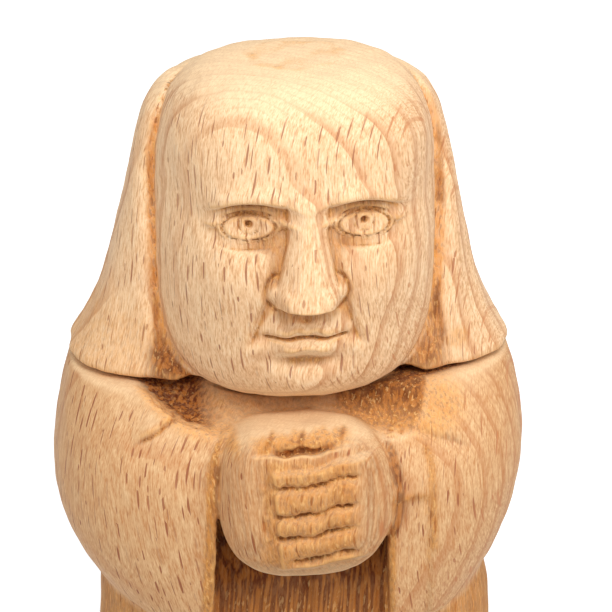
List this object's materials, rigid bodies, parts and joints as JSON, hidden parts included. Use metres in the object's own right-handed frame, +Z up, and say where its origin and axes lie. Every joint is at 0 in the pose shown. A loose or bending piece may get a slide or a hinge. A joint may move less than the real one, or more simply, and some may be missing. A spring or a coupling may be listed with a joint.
{
  "type": "wooden monk figurine",
  "caption": "Carved beech figurine of a hooded monk with clasped hands and wide hanging sleeves; a head block dowelled onto a body block, standing on its flat base.",
  "frame": {"origin": "middle of the flat base that the figurine stands on", "axes": "+Z up through the crown, -Y the way the face looks, +X the figure's own left hand"},
  "size_m": [0.0624, 0.0551, 0.1037],
  "materials": {
    "head_wood": "carved, oiled beech, satin",
    "body_wood": "carved, oiled beech, satin",
    "dowel_wood": "plain beech dowel, unfinished"
  },
  "bodies": {
    "root": {"head": "head_wood", "body": "body_wood", "neck_dowel": "dowel_wood"}
  },
  "joints": []
}
